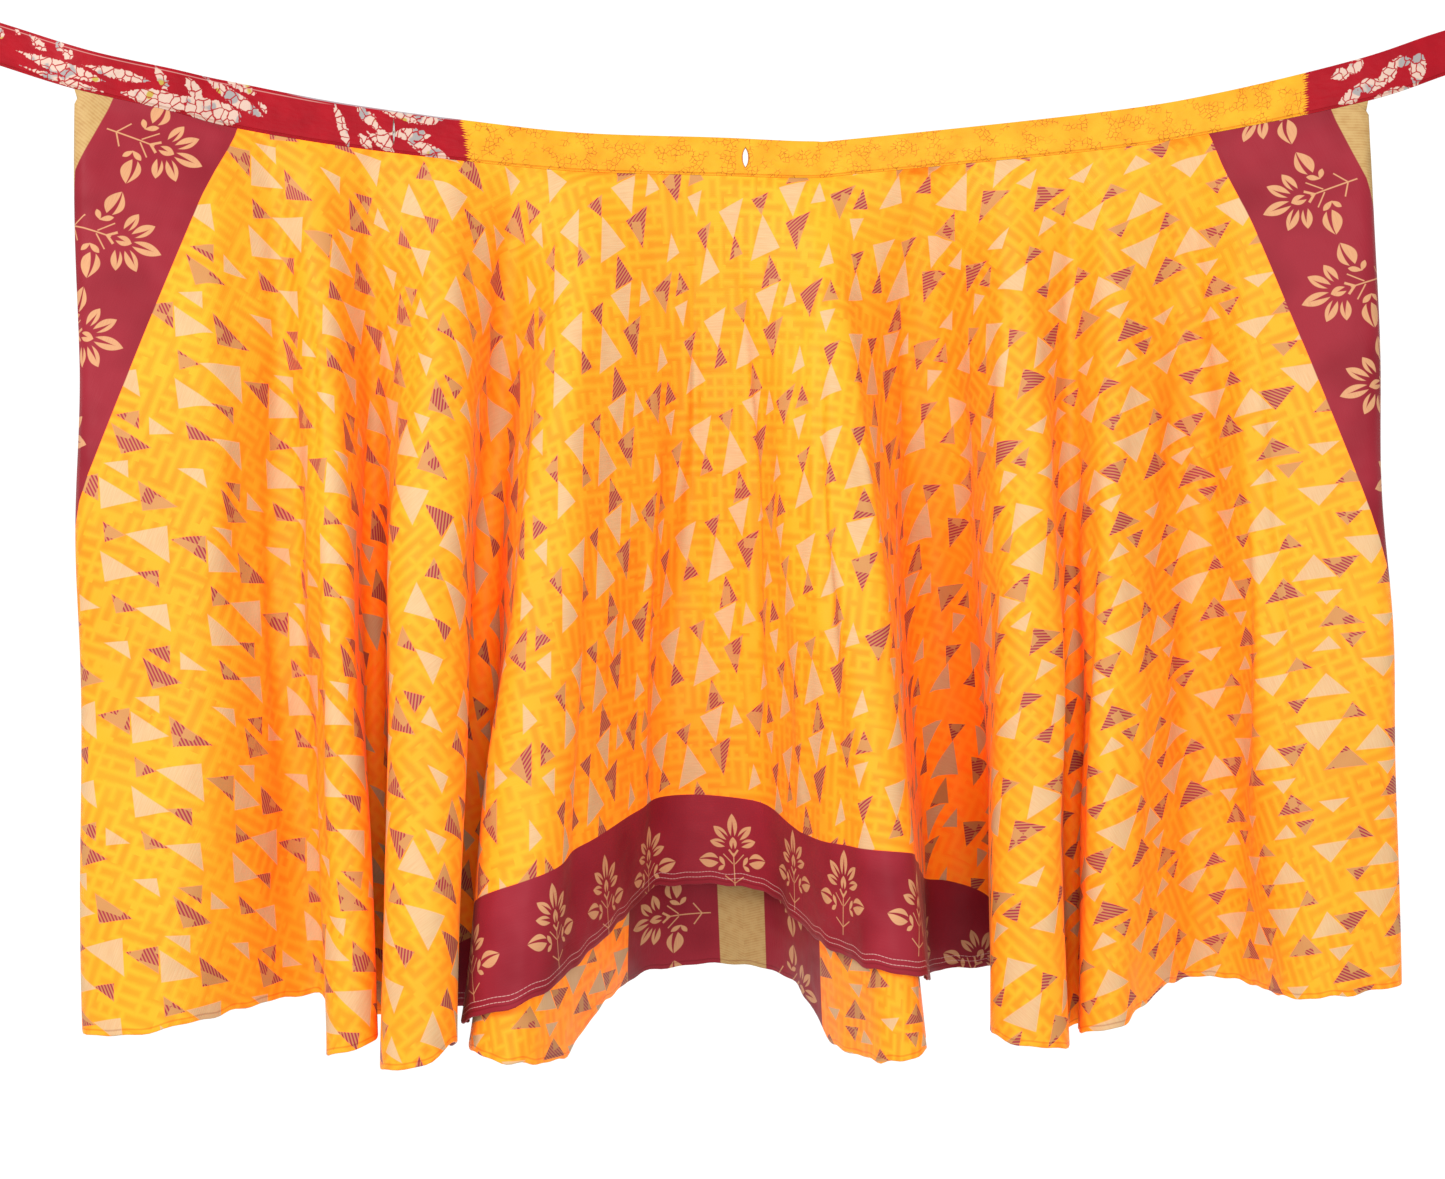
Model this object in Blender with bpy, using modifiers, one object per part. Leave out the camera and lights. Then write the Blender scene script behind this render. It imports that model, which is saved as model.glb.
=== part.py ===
"""Two-layer sari wrap skirt, opened out and hanging from its two ties.

Metres, +Z up. The outside of the skirt faces -Y. The origin is midway between
the two points where the ties are held.

The outer layer is a half circle cut from a sari: its centre lies on the near
selvedge, so the near border runs down both opening edges, and the far border
crosses the middle of the hem. The under layer is two quarter circles that meet
at the middle. A point of the flat cut is given by its angle about the centre,
from the left opening edge, and by how far down the cloth it lies.
"""

import math

import bmesh
import bpy
import numpy as np

# Flat cut: half circle about a point on the near selvedge
WAIST_RADIUS = 0.42
HEM_RADIUS = 1.31
DROP = HEM_RADIUS - WAIST_RADIUS
WHOLE = math.pi  # the half circle's angle
UNDER_JOIN = math.radians(89.8)  # where the two under pieces meet
SIDE_MARGIN = math.radians(2.5)  # the under layer stops this far from each side's fold

# Walls and gaps
CLOTH_WALL = 0.0012
BAND_WALL = 0.0032
GAP = 0.0003
SEAM_GAP = 0.0006  # below the waistband, where the cloth's wall leans a little
TIE_GAP = 0.0005  # at the waistband's ends, where the band's line bends
LAYER_OFFSET = 0.0012  # of each layer from the seam line
LAYER_SPREAD = 0.008  # further distance between the layers at the hem

# Folds
FOLD_GROWTH = 0.65  # depth of a fold grows as this power of the drop
ARCH_GROWTH = 1.15
SEAM_HOLD = 0.05  # the seam's stitches take up fullness near it, down to about this level
SHALLOW_BREADTH = 0.22  # radius of a shallow fold, as a share of the room it has
ARC_STEPS = 12
TURN_BACK = (math.radians(20), math.radians(18))  # fold at each side, from the opening edge
TURN_RADIUS = (0.006, 0.020)  # at the waist, and what the drop adds
TURN_SHARE = 0.35  # greatest turn radius, as a share of the width turned back
LEAST_TURNED = math.radians(1.5)  # width of seam kept for the turned back cloth
STEEPEST = 0.75  # of the turned back cloth: how far back it goes, as a share of its width

# Grid
ROWS = (0, 0.012, 0.035, 0.08, 0.15, 0.23, 0.32, 0.42, 0.52, 0.62, 0.72, 0.81, 0.89, 0.95, 1)
LEVELS = 48
LOWEST_LEVEL = 1.06
LEAST_FALL = 0.35  # of a step down, as a share of its length
LEAST_MITRE = 0.7
COLUMN_EVERY = 3  # of the steps round an arc
WIDEST_COLUMN = math.radians(2.6)
CLOSEST_COLUMN = 0.006  # radians
BAND_COLUMNS = 49
TIE_COLUMNS = 7
LENS_STEPS = 9
CUTTER_DEPTH = 0.040

# Line where the cloth is sewn to the waistband, from left to right, and the
# waistband's height there
SEAM = (
    # x, y, z, height
    (-0.6300, -0.050, -0.0670, 0.0410),
    (-0.5480, -0.025, -0.0850, 0.0430),
    (-0.4915, 0.000, -0.0960, 0.0450),
    (-0.3890, 0.030, -0.1080, 0.0435),
    (-0.2590, 0.065, -0.1170, 0.0420),
    (-0.1470, 0.090, -0.1220, 0.0405),
    (-0.0060, 0.100, -0.1240, 0.0400),
    (0.0900, 0.100, -0.1265, 0.0385),
    (0.1440, 0.095, -0.1230, 0.0370),
    (0.3870, 0.050, -0.1080, 0.0385),
    (0.5055, 0.020, -0.0954, 0.0390),
    (0.6435, 0.000, -0.0700, 0.0430),
)
LEFT_TIE = (
    # x, y, z, height
    (-0.775, 0.000, -0.015, 0.0420),
    (-0.712, -0.030, -0.039, 0.0420),
    (-0.630, -0.050, -0.067, 0.0410),
)
RIGHT_TIE = (
    # x, y, z, height
    (0.6435, 0.000, -0.070, 0.0430),
    (0.7225, 0.000, -0.044, 0.0430),
    (0.7750, 0.000, -0.027, 0.0420),
)

# Folds at full drop, left to right. A fold is the arc that the cloth makes
# round a peg; x and y are the outermost point of the arc, side is where that
# point lies, and deeper is how much further back the under layer goes.
FOLDS = (
    # name, x, y, radius, side, deeper
    ("left edge", -0.412, 0.180, 0.000, "end", 0.000),
    ("left roll", -0.622, -0.050, 0.026, "left", 0.000),
    ("left facet", -0.550, -0.085, 0.060, "front", 0.000),
    ("facet trough", -0.412, 0.050, 0.015, "back", 0.000),
    ("tube A", -0.364, -0.050, 0.024, "front", 0.000),
    ("trough A", -0.364, 0.115, 0.010, "back", 0.000),
    ("tube B", -0.295, -0.080, 0.036, "front", 0.000),
    ("trough B", -0.282, 0.140, 0.014, "back", 0.000),
    ("tube C", -0.212, -0.050, 0.055, "front", 0.000),
    ("arch", -0.012, 0.235, 0.100, "back", 0.040),
    ("tube D", 0.176, -0.025, 0.034, "front", 0.000),
    ("trough D", 0.268, 0.270, 0.040, "back", 0.050),
    ("tube E", 0.310, -0.010, 0.040, "front", 0.000),
    ("trough E", 0.3735, 0.130, 0.010, "back", 0.000),
    ("tube F", 0.390, 0.020, 0.030, "front", 0.000),
    ("right trough", 0.520, 0.140, 0.060, "back", 0.000),
    ("right facet", 0.620, 0.020, 0.070, "front", 0.000),
    ("right roll", 0.697, 0.060, 0.026, "right", 0.000),
    ("right edge", 0.474, 0.240, 0.000, "end", 0.000),
)
# Drop of each layer from seam to hem, along the cut
HEM = (
    # angle in degrees, outer, under
    (0.0, 0.895, 0.790),
    (14.0, 0.899, 0.790),
    (17.0, 0.897, 0.805),
    (19.5, 0.881, 0.830),
    (23.0, 0.869, 0.855),
    (27.0, 0.868, 0.856),
    (29.6, 0.910, 0.870),
    (31.7, 0.906, 0.890),
    (33.4, 0.892, 0.880),
    (36.0, 0.903, 0.886),
    (41.0, 0.896, 0.880),
    (46.0, 0.913, 0.898),
    (50.0, 0.914, 0.898),
    (52.0, 0.887, 0.873),
    (54.0, 0.897, 0.883),
    (61.0, 0.884, 0.872),
    (68.0, 0.876, 0.901),
    (71.0, 0.859, 0.914),
    (76.0, 0.815, 0.914),
    (79.0, 0.791, 0.876),
    (81.0, 0.780, 0.871),
    (84.0, 0.764, 0.870),
    (91.0, 0.768, 0.866),
    (93.5, 0.783, 0.876),
    (96.0, 0.795, 0.911),
    (103.0, 0.824, 0.911),
    (106.0, 0.834, 0.902),
    (110.0, 0.845, 0.900),
    (117.5, 0.897, 0.880),
    (121.0, 0.879, 0.865),
    (126.0, 0.902, 0.885),
    (129.0, 0.888, 0.873),
    (132.0, 0.901, 0.887),
    (139.5, 0.911, 0.890),
    (145.5, 0.893, 0.880),
    (150.0, 0.866, 0.853),
    (155.0, 0.884, 0.858),
    (160.0, 0.879, 0.833),
    (166.0, 0.880, 0.805),
    (180.0, 0.877, 0.790),
)
HEM_SOFTNESS = math.radians(1.2)  # width over which the hem turns from one row to the next
ARCH = [row[0] for row in FOLDS].index("arch")

# Buttonholes through the waistband: a tie passes through the open one
BUTTONHOLES = (
    # name, x, width, height
    ("open", 0.0235, 0.0080, 0.0215),
    ("closed", -0.335, 0.0030, 0.0260),
)

COLOURS = {
    # name: (red, green, blue), linear
    "sari yellow": (0.87, 0.42, 0.03),
    "sari orange": (0.80, 0.32, 0.03),
    "band red": (0.42, 0.02, 0.04),
    "band yellow": (0.85, 0.38, 0.03),
}
SILK_ROUGHNESS = 0.45
COLLECTION = "wrap skirt"

PLACE = np.array([row[1:3] for row in FOLDS])
RADIUS = np.array([row[3] for row in FOLDS])
DEEPER_UNDER = np.array([row[5] for row in FOLDS])
TO_CENTRE = {"front": (0, 1), "back": (0, -1), "left": (1, 0), "right": (-1, 0), "end": (0, 0)}
INWARD = np.array([TO_CENTRE[row[4]] for row in FOLDS], float)
TURN = np.array([-1.0 if row[4] == "back" else 1.0 for row in FOLDS])
FACING = {"left": -math.pi / 2, "right": math.pi / 2}
OUTERMOST = np.array([FACING.get(row[4], 0.0) for row in FOLDS])
GROWTH = np.where(np.arange(len(FOLDS)) == ARCH, ARCH_GROWTH, FOLD_GROWTH)


def clear_scene():
    for obj in list(bpy.data.objects):
        bpy.data.objects.remove(obj, do_unlink=True)


def length_along(line):
    steps = np.linalg.norm(np.diff(line, axis=0), axis=1)
    return np.concatenate([[0], np.cumsum(steps)])


def points_along(line, run, where):
    return np.column_stack([np.interp(where, run, line[:, k]) for k in range(line.shape[1])])


def smooth_line(rows, count):
    """Evenly spaced points on a smooth line through the rows."""
    knots = np.array(rows, float)
    knots = np.vstack([2 * knots[0] - knots[1], knots, 2 * knots[-1] - knots[-2]])
    u = np.linspace(0, 1, 30)[:, None]
    pieces = []
    for a, b, c, d in zip(knots[:-3], knots[1:-2], knots[2:-1], knots[3:]):
        start = (2 * u**3 - 3 * u**2 + 1) * b + (u**3 - 2 * u**2 + u) * (c - a) / 2
        end = (3 * u**2 - 2 * u**3) * c + (u**3 - u**2) * (d - b) / 2
        pieces.append(start + end)
    line = np.vstack(pieces)
    run = length_along(line)
    return points_along(line, run, np.linspace(0, run[-1], count))


def room(a, b):
    """Greatest sum of the radii of two folds that face opposite ways."""
    apart = b - a
    return (apart @ apart) / (2 * max(abs(apart[1]), 1e-6))


def belt(place, radius):
    """The cloth laid round the pegs: points, length up to each peg, whole length."""
    centre = place + INWARD * radius[:, None]
    apart = np.diff(centre, axis=0)
    across = TURN[1:] * radius[1:] - TURN[:-1] * radius[:-1]
    far = np.hypot(apart[:, 0], apart[:, 1])
    heading = np.arctan2(apart[:, 1], apart[:, 0]) - np.arcsin(np.clip(across / far, -1, 1))
    heading = (heading + math.pi) % (2 * math.pi) - math.pi
    heading[0] -= 2 * math.pi * (heading[0] > 0)
    heading[-1] += 2 * math.pi * (heading[-1] < 0)
    points = [centre[:1]]
    reached = [0.0]
    run = 0.0
    for k in range(1, len(place) - 1):
        turn = heading[k] - heading[k - 1]
        sweep = heading[k - 1] + np.linspace(0, 1, ARC_STEPS + 1) * turn
        arc = np.column_stack([np.sin(sweep), -np.cos(sweep)])
        arc = centre[k] + TURN[k] * radius[k] * arc
        run += np.linalg.norm(arc[0] - points[-1][-1])
        share = 0.5
        if abs(turn) > 1e-6:
            share = np.clip((OUTERMOST[k] - heading[k - 1]) / turn, 0, 1)
        reached.append(run + radius[k] * abs(turn) * share)
        run += radius[k] * abs(turn)
        points.append(arc)
    run += np.linalg.norm(centre[-1] - points[-1][-1])
    reached.append(run)
    points.append(centre[-1:])
    return np.vstack(points), np.array(reached), run


BAND = smooth_line(LEFT_TIE[:-1] + SEAM + RIGHT_TIE[1:], 1200)
BAND_LINE = BAND[:, :3]
SEAM_ENDS = [np.abs(BAND_LINE[:, 0] - x).argmin() for x in (SEAM[0][0], SEAM[-1][0])]
SEAM_LINE = BAND_LINE[SEAM_ENDS[0] : SEAM_ENDS[1] + 1]
HEM_REACHED, HEM_LENGTH = belt(PLACE, RADIUS)[1:]
FOLD_ANGLE = HEM_REACHED / HEM_LENGTH * WHOLE


def seam_at(angle):
    return points_along(SEAM_LINE, np.linspace(0, WHOLE, len(SEAM_LINE)), angle)


def turned_back(side, level):
    """Width of the cloth that is folded back behind one side at this level."""
    radius = WAIST_RADIUS + level * DROP
    angle = TURN_BACK[side]
    return radius * (angle - math.asin(WAIST_RADIUS * math.sin(angle) / radius))


def pegs(level, deepen):
    """Place and radius of each fold's peg at a level, 0 at the waist and 1 at full drop."""
    start = seam_at(FOLD_ANGLE)[:, :2]
    grown = level**GROWTH
    x = start[:, 0] + (PLACE[:, 0] - start[:, 0]) * level
    y = start[:, 1] + (PLACE[:, 1] - start[:, 1]) * grown * deepen
    place = np.column_stack([x, y])
    corners = seam_at([0, WHOLE])[:, :2]
    turns = []
    for side, edge, roll in ((0, 0, 1), (1, -1, -2)):
        width = turned_back(side, level)
        place[roll] = corners[side] + (PLACE[roll] - corners[side]) * level
        back = (PLACE[edge, 1] - PLACE[roll, 1]) * grown[roll] * deepen
        back = min(back, STEEPEST * width)
        aside = math.sqrt(width**2 - back**2)
        place[edge] = place[roll] + (INWARD[roll, 0] * aside, back)
        turns.append(min(TURN_RADIUS[0] + TURN_RADIUS[1] * grown[roll], TURN_SHARE * width))
    radius = RADIUS.copy()
    for k in range(2, len(place) - 2):
        others = [n for n in (k - 1, k + 1) if TURN[n] != TURN[k]]
        if others:
            least = min(room(place[n], place[k]) for n in others)
            radius[k] = max(RADIUS[k], SHALLOW_BREADTH * least)
            radius[k] = min(radius[k], 0.46 * least)
    radius[1] = turns[0]
    radius[-2] = turns[1]
    return place, radius


def depth_at(level):
    """How deep the folds must be at this level to take up the cloth's fullness."""
    eased_in = (1 + SEAM_HOLD) * level / (level + SEAM_HOLD)
    want = WHOLE * (WAIST_RADIUS + level * DROP * eased_in)
    low = 0.3
    high = 3.0
    for _ in range(16):
        middle = (low + high) / 2
        if belt(*pegs(level, middle))[2] < want:
            low = middle
        else:
            high = middle
    return middle


def section(level, columns):
    """Flat angle of each column at this level, and where it lies seen from above."""
    line, reached, whole = belt(*pegs(level, depth_at(level)))
    unit = WAIST_RADIUS + level * DROP
    angle = FOLD_ANGLE.copy()
    angle[:3] = reached[:3] / unit
    angle[-3:] = WHOLE - (whole - reached[-3:]) / unit
    run = length_along(line)
    where = np.interp(columns, FOLD_ANGLE, reached) * run[-1] / whole
    return np.interp(columns, FOLD_ANGLE, angle), points_along(line, run, where)


def behind(line):
    """Step from each point of a line seen from above to a parallel line one unit behind."""
    along = np.diff(line, axis=0)
    along /= np.linalg.norm(along, axis=1)[:, None]
    aside = np.column_stack([-along[:, 1], along[:, 0]])
    both = np.vstack([aside[:1], aside[:-1] + aside[1:], aside[-1:]])
    both /= np.linalg.norm(both, axis=1)[:, None]
    square = np.vstack([aside, aside[-1:]])
    return both / np.maximum((both * square).sum(axis=1), LEAST_MITRE)[:, None]


def eased(angles, values):
    """Values at the folds, carried smoothly from each fold to the next."""
    k = np.clip(np.searchsorted(FOLD_ANGLE, angles) - 1, 0, len(FOLD_ANGLE) - 2)
    share = (angles - FOLD_ANGLE[k]) / (FOLD_ANGLE[k + 1] - FOLD_ANGLE[k])
    share = (1 - np.cos(math.pi * np.clip(share, 0, 1))) / 2
    return values[k] + (values[k + 1] - values[k]) * share


def hem_drop(columns, under):
    """Drop of each column from seam to hem, the table's corners rounded."""
    table = np.array(HEM)
    spread = columns[:, None] + np.linspace(-HEM_SOFTNESS, HEM_SOFTNESS, 9) / 2
    drops = np.interp(spread, np.radians(table[:, 0]), table[:, 2 if under else 1])
    return drops.mean(axis=1)


def flat_points(angle, level):
    radius = WAIST_RADIUS + level * DROP
    return np.column_stack([radius * np.cos(angle), radius * np.sin(angle)])


def drape(columns, under):
    """Grid of points, rows by columns: the cloth falls from the seam and keeps its length.

    A column is named by its angle at the hem. Near the sides it follows the fold.
    """
    waist = FOLD_ANGLE.copy()
    waist[1] = LEAST_TURNED
    waist[-2] = WHOLE - LEAST_TURNED
    angle = np.interp(columns, FOLD_ANGLE, waist)
    seam = seam_at(angle)
    place = seam[:, :2]
    height = seam[:, 2] - SEAM_GAP
    cloth = flat_points(angle, 0)
    deeper = eased(columns, DEEPER_UNDER)
    levels = np.linspace(0, LOWEST_LEVEL, LEVELS + 1)
    path = []
    for level in levels:
        if level > 0:
            last_cloth = cloth
            last_place = place
            angle, place = section(level, columns)
            cloth = flat_points(angle, level)
            step = ((cloth - last_cloth) ** 2).sum(axis=1)
            moved = ((place - last_place) ** 2).sum(axis=1)
            height = height - np.sqrt(np.maximum(step - moved, LEAST_FALL**2 * step))
        if under:
            layer = place + behind(place) * (LAYER_OFFSET + LAYER_SPREAD * level**FOLD_GROWTH)
            layer[:, 1] += deeper * level
        else:
            layer = place - behind(place) * LAYER_OFFSET
        path.append(np.column_stack([layer, height]))
    path = np.array(path)
    hem = hem_drop(columns, under) / DROP
    grid = np.empty((len(ROWS), len(columns), 3))
    for j in range(len(columns)):
        grid[:, j] = points_along(path[:, j], levels, np.array(ROWS) * hem[j])
    return grid


def hem_columns():
    """The columns' angles at the hem: close together where the hem bends most."""
    line = belt(PLACE, RADIUS)[0]
    run = length_along(line)
    angles = run[1:-1:COLUMN_EVERY] / run[-1] * WHOLE
    angles = np.concatenate([[0], angles, [WHOLE]])
    steps = np.ceil(np.diff(angles) / WIDEST_COLUMN).astype(int)
    filled = [
        np.linspace(a, b, n, endpoint=False) for a, b, n in zip(angles, angles[1:], steps) if n
    ]
    angles = np.concatenate(filled)
    apart = np.diff(angles, append=WHOLE) > CLOSEST_COLUMN
    return np.append(angles[apart], WHOLE)


def between(columns, start, end):
    """The columns from one angle to another, with one exactly at each."""
    inside = (columns > start + CLOSEST_COLUMN) & (columns < end - CLOSEST_COLUMN)
    return np.concatenate([[start], columns[inside], [end]])


def material_of(name):
    material = bpy.data.materials.new(name)
    material.use_nodes = True
    shader = material.node_tree.nodes["Principled BSDF"]
    shader.inputs["Base Color"].default_value = (*COLOURS[name], 1)
    shader.inputs["Roughness"].default_value = SILK_ROUGHNESS
    shader.inputs["Metallic"].default_value = 0
    return material


def sheet(name, grid, wall, colour, collection):
    """Cloth wall of even thickness about a grid of points, with its face towards -Y."""
    rows, columns = grid.shape[:2]
    bm = bmesh.new()
    points = [[bm.verts.new(point) for point in row] for row in grid]
    for upper, lower in zip(points[:-1], points[1:]):
        for k in range(columns - 1):
            bm.faces.new((upper[k], lower[k], lower[k + 1], upper[k + 1]))
    mesh = bpy.data.meshes.new(name)
    bm.to_mesh(mesh)
    bm.free()
    mesh.shade_smooth()
    obj = bpy.data.objects.new(name, mesh)
    collection.objects.link(obj)
    mesh.materials.append(material_of(colour))
    solidify = obj.modifiers.new("wall", "SOLIDIFY")
    solidify.thickness = wall
    solidify.offset = 0
    solidify.use_even_offset = False
    solidify.use_quality_normals = True
    return obj


def band_grid(where):
    """Upright strip along the band's line, its lower edge on the line."""
    along = np.gradient(BAND_LINE, axis=0)
    along /= np.linalg.norm(along, axis=1)[:, None]
    up = np.array([0, 0, 1.0]) - along[:, 2:] * along
    up /= np.linalg.norm(up, axis=1)[:, None]
    count = np.arange(len(BAND_LINE))
    upright = up * BAND[:, 3:]
    lower = points_along(BAND_LINE, count, where)
    return np.array([lower + points_along(upright, count, where), lower])


def lens(name, place, width, height, through, collection):
    """Cutter with a lens outline, pointed at the top and bottom, standing in the XZ plane."""
    bulge = (height**2 / width + width) / 4  # radius of each side's arc
    half = math.asin(height / 2 / bulge)
    sweep = np.linspace(-half, half, LENS_STEPS)
    side = np.column_stack([bulge * np.cos(sweep) - bulge + width / 2, bulge * np.sin(sweep)])
    outline = np.vstack([side, -side[1:-1]])
    bm = bmesh.new()
    front = [bm.verts.new((x, -through / 2, z)) for x, z in outline]
    back = [bm.verts.new((x, through / 2, z)) for x, z in outline]
    bm.faces.new(front)
    bm.faces.new(back[::-1])
    for k in range(len(outline)):
        n = (k + 1) % len(outline)
        bm.faces.new((front[n], front[k], back[k], back[n]))
    bmesh.ops.recalc_face_normals(bm, faces=bm.faces)
    mesh = bpy.data.meshes.new(name)
    bm.to_mesh(mesh)
    bm.free()
    cutter = bpy.data.objects.new(name, mesh)
    collection.objects.link(cutter)
    cutter.location = place
    cutter.hide_render = True
    cutter.display_type = "WIRE"
    return cutter


def waistband(collection, cutters):
    grid = band_grid(np.linspace(*SEAM_ENDS, BAND_COLUMNS))
    band = sheet("waistband", grid, BAND_WALL, "band yellow", collection)
    for name, x, width, height in BUTTONHOLES:
        k = np.abs(BAND[:, 0] - x).argmin()
        place = BAND_LINE[k] + (0, 0, BAND[k, 3] / 2)
        cutter = lens(f"buttonhole {name}", place, width, height, CUTTER_DEPTH, cutters)
        cut = band.modifiers.new(name, "BOOLEAN")
        cut.operation = "DIFFERENCE"
        cut.object = cutter


def tie(name, start, end, collection):
    sheet(name, band_grid(np.linspace(start, end, TIE_COLUMNS)), BAND_WALL, "band red", collection)


def main():
    clear_scene()
    skirt = bpy.data.collections.new(COLLECTION)
    cutters = bpy.data.collections.new("cutters")
    bpy.context.scene.collection.children.link(skirt)
    bpy.context.scene.collection.children.link(cutters)
    columns = hem_columns()
    sheet("outer_layer", drape(columns, False), CLOTH_WALL, "sari yellow", skirt)
    apart = GAP / HEM_RADIUS
    start = FOLD_ANGLE[1] + SIDE_MARGIN
    end = FOLD_ANGLE[-2] - SIDE_MARGIN
    left = drape(between(columns, start, UNDER_JOIN - apart), True)
    sheet("under_layer_left", left, CLOTH_WALL, "sari orange", skirt)
    right = drape(between(columns, UNDER_JOIN + apart, end), True)
    sheet("under_layer_right", right, CLOTH_WALL, "sari orange", skirt)
    waistband(skirt, cutters)
    apart = TIE_GAP / np.linalg.norm(BAND_LINE[1] - BAND_LINE[0])
    tie("tie_left", 0, SEAM_ENDS[0] - apart, skirt)
    tie("tie_right", SEAM_ENDS[1] + apart, len(BAND_LINE) - 1, skirt)


main()
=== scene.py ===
# %% [markdown]
# # A wrap skirt made of two sari layers
#
# The skirt is opened out and hangs from its two ties. The outer layer is a half
# circle of cloth, the under layer two quarter circles, and a folded strip of
# another sari makes the waistband and the ties. Every piece is a thin surface
# worked out from the flat cut, so the print runs over it as on real cloth.

import math
from functools import partialmethod, reduce

import bmesh
import bpy
import mathutils
import numpy as np
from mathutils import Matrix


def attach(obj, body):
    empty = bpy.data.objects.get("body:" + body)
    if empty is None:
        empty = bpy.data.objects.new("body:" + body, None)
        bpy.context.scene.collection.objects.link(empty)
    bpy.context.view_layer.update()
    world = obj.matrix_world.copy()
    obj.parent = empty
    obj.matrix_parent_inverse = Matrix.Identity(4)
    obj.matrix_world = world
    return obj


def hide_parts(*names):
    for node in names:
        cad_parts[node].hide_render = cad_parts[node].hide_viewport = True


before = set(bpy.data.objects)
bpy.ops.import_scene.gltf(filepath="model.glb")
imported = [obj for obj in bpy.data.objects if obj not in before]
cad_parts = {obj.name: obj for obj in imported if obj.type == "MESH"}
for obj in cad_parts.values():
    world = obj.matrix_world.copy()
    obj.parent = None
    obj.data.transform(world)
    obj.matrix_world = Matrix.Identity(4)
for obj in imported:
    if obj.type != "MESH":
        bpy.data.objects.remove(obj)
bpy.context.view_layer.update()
print("nodes:", sorted(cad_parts))

# %% [markdown]
# ## The flat cut
#
# Were the skirt modelled straight in 3-D, its print would slide about. Here each
# point keeps its place in the flat cut: an angle about the half circle's centre,
# from the left opening edge, and a level, 0 at the waist and 1 at full drop.

# %% Sizes of the cut, and the line it is sewn to
WAIST_RADIUS = 0.42
HEM_RADIUS = 1.31
DROP = HEM_RADIUS - WAIST_RADIUS
UNDER_JOIN = math.radians(89.1)
SIDE_MARGIN = math.radians(2.5)
SEAM = (
    # x, y, z, band height
    (-0.63, -0.05, -0.0705, 0.04), (-0.548, -0.025, -0.085, 0.0415), (-0.4915, 0, -0.096, 0.045),
    (-0.389, 0.03, -0.108, 0.0435), (-0.259, 0.065, -0.117, 0.042), (-0.147, 0.09, -0.122, 0.0405),
    (-0.006, 0.1, -0.124, 0.04), (0.09, 0.1, -0.1265, 0.0385), (0.144, 0.095, -0.123, 0.037),
    (0.387, 0.05, -0.108, 0.0385), (0.5055, 0.02, -0.0954, 0.039), (0.6435, 0, -0.07, 0.043),
)
LEFT_TIE = ((-0.775, 0, -0.017, 0.04), (-0.712, -0.03, -0.042, 0.04))
RIGHT_TIE = ((0.7225, 0, -0.044, 0.043), (0.775, 0, -0.027, 0.042))
FOLDS = (
    # name, x, y, radius, side, under layer deeper
    ("left edge", -0.412, 0.18, 0, "end", 0), ("left roll", -0.622, -0.05, 0.026, "left", 0),
    ("left facet", -0.55, -0.085, 0.06, "front", 0),
    ("facet trough", -0.412, 0.05, 0.015, "back", 0), ("tube A", -0.364, -0.05, 0.024, "front", 0),
    ("trough A", -0.364, 0.115, 0.01, "back", 0), ("tube B", -0.295, -0.08, 0.036, "front", 0),
    ("trough B", -0.282, 0.14, 0.014, "back", 0), ("tube C", -0.212, -0.05, 0.055, "front", 0),
    ("arch", -0.012, 0.235, 0.1, "back", 0.04), ("tube D", 0.176, -0.025, 0.034, "front", 0),
    ("trough D", 0.268, 0.27, 0.04, "back", 0.05), ("tube E", 0.31, -0.01, 0.04, "front", 0),
    ("trough E", 0.3735, 0.13, 0.01, "back", 0), ("tube F", 0.39, 0.02, 0.03, "front", 0),
    ("right trough", 0.52, 0.14, 0.06, "back", 0), ("right facet", 0.62, 0.02, 0.07, "front", 0),
    ("right roll", 0.697, 0.06, 0.026, "right", 0), ("right edge", 0.474, 0.24, 0, "end", 0),
)
HEM = (
    # angle in degrees, outer drop and under drop in mm
    (0, 895, 790), (14, 899, 790), (17, 897, 805), (19.5, 881, 830), (23, 869, 855), (27, 868, 856),
    (29.6, 910, 870), (31.7, 906, 890), (33.4, 892, 880), (36, 903, 886), (41, 896, 880),
    (46, 913, 898), (50, 914, 898), (52, 887, 873), (54, 897, 883), (61, 884, 872), (68, 876, 901),
    (71, 859, 914), (76, 815, 914), (79, 791, 876), (81, 780, 871), (84, 764, 870), (91, 768, 866),
    (93.5, 783, 876), (96, 795, 911), (103, 824, 911), (106, 834, 902), (110, 845, 900),
    (117.5, 897, 880), (121, 879, 865), (126, 902, 885), (129, 888, 873), (132, 901, 887),
    (139.5, 911, 890), (145.5, 893, 880), (150, 866, 853), (155, 884, 858), (160, 879, 833),
    (166, 880, 805), (180, 877, 790),
)
print(len(FOLDS), "folds,", len(HEM), "hem rows")


# %% Lines through rows of points
def length_along(line):
    """Length from the first point to each point: the running sum of the steps."""
    steps = np.linalg.norm(np.diff(line, axis=0), axis=1)
    return np.concatenate([[0], np.cumsum(steps)])


def unit(vectors):
    """The vectors, each scaled to length 1."""
    return vectors / np.linalg.norm(vectors, axis=-1, keepdims=True)


def points_along(line, run, where):
    """Points of a line at the lengths asked for, straight between its own points."""
    return np.column_stack([np.interp(where, run, line[:, k]) for k in range(line.shape[1])])


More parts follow.
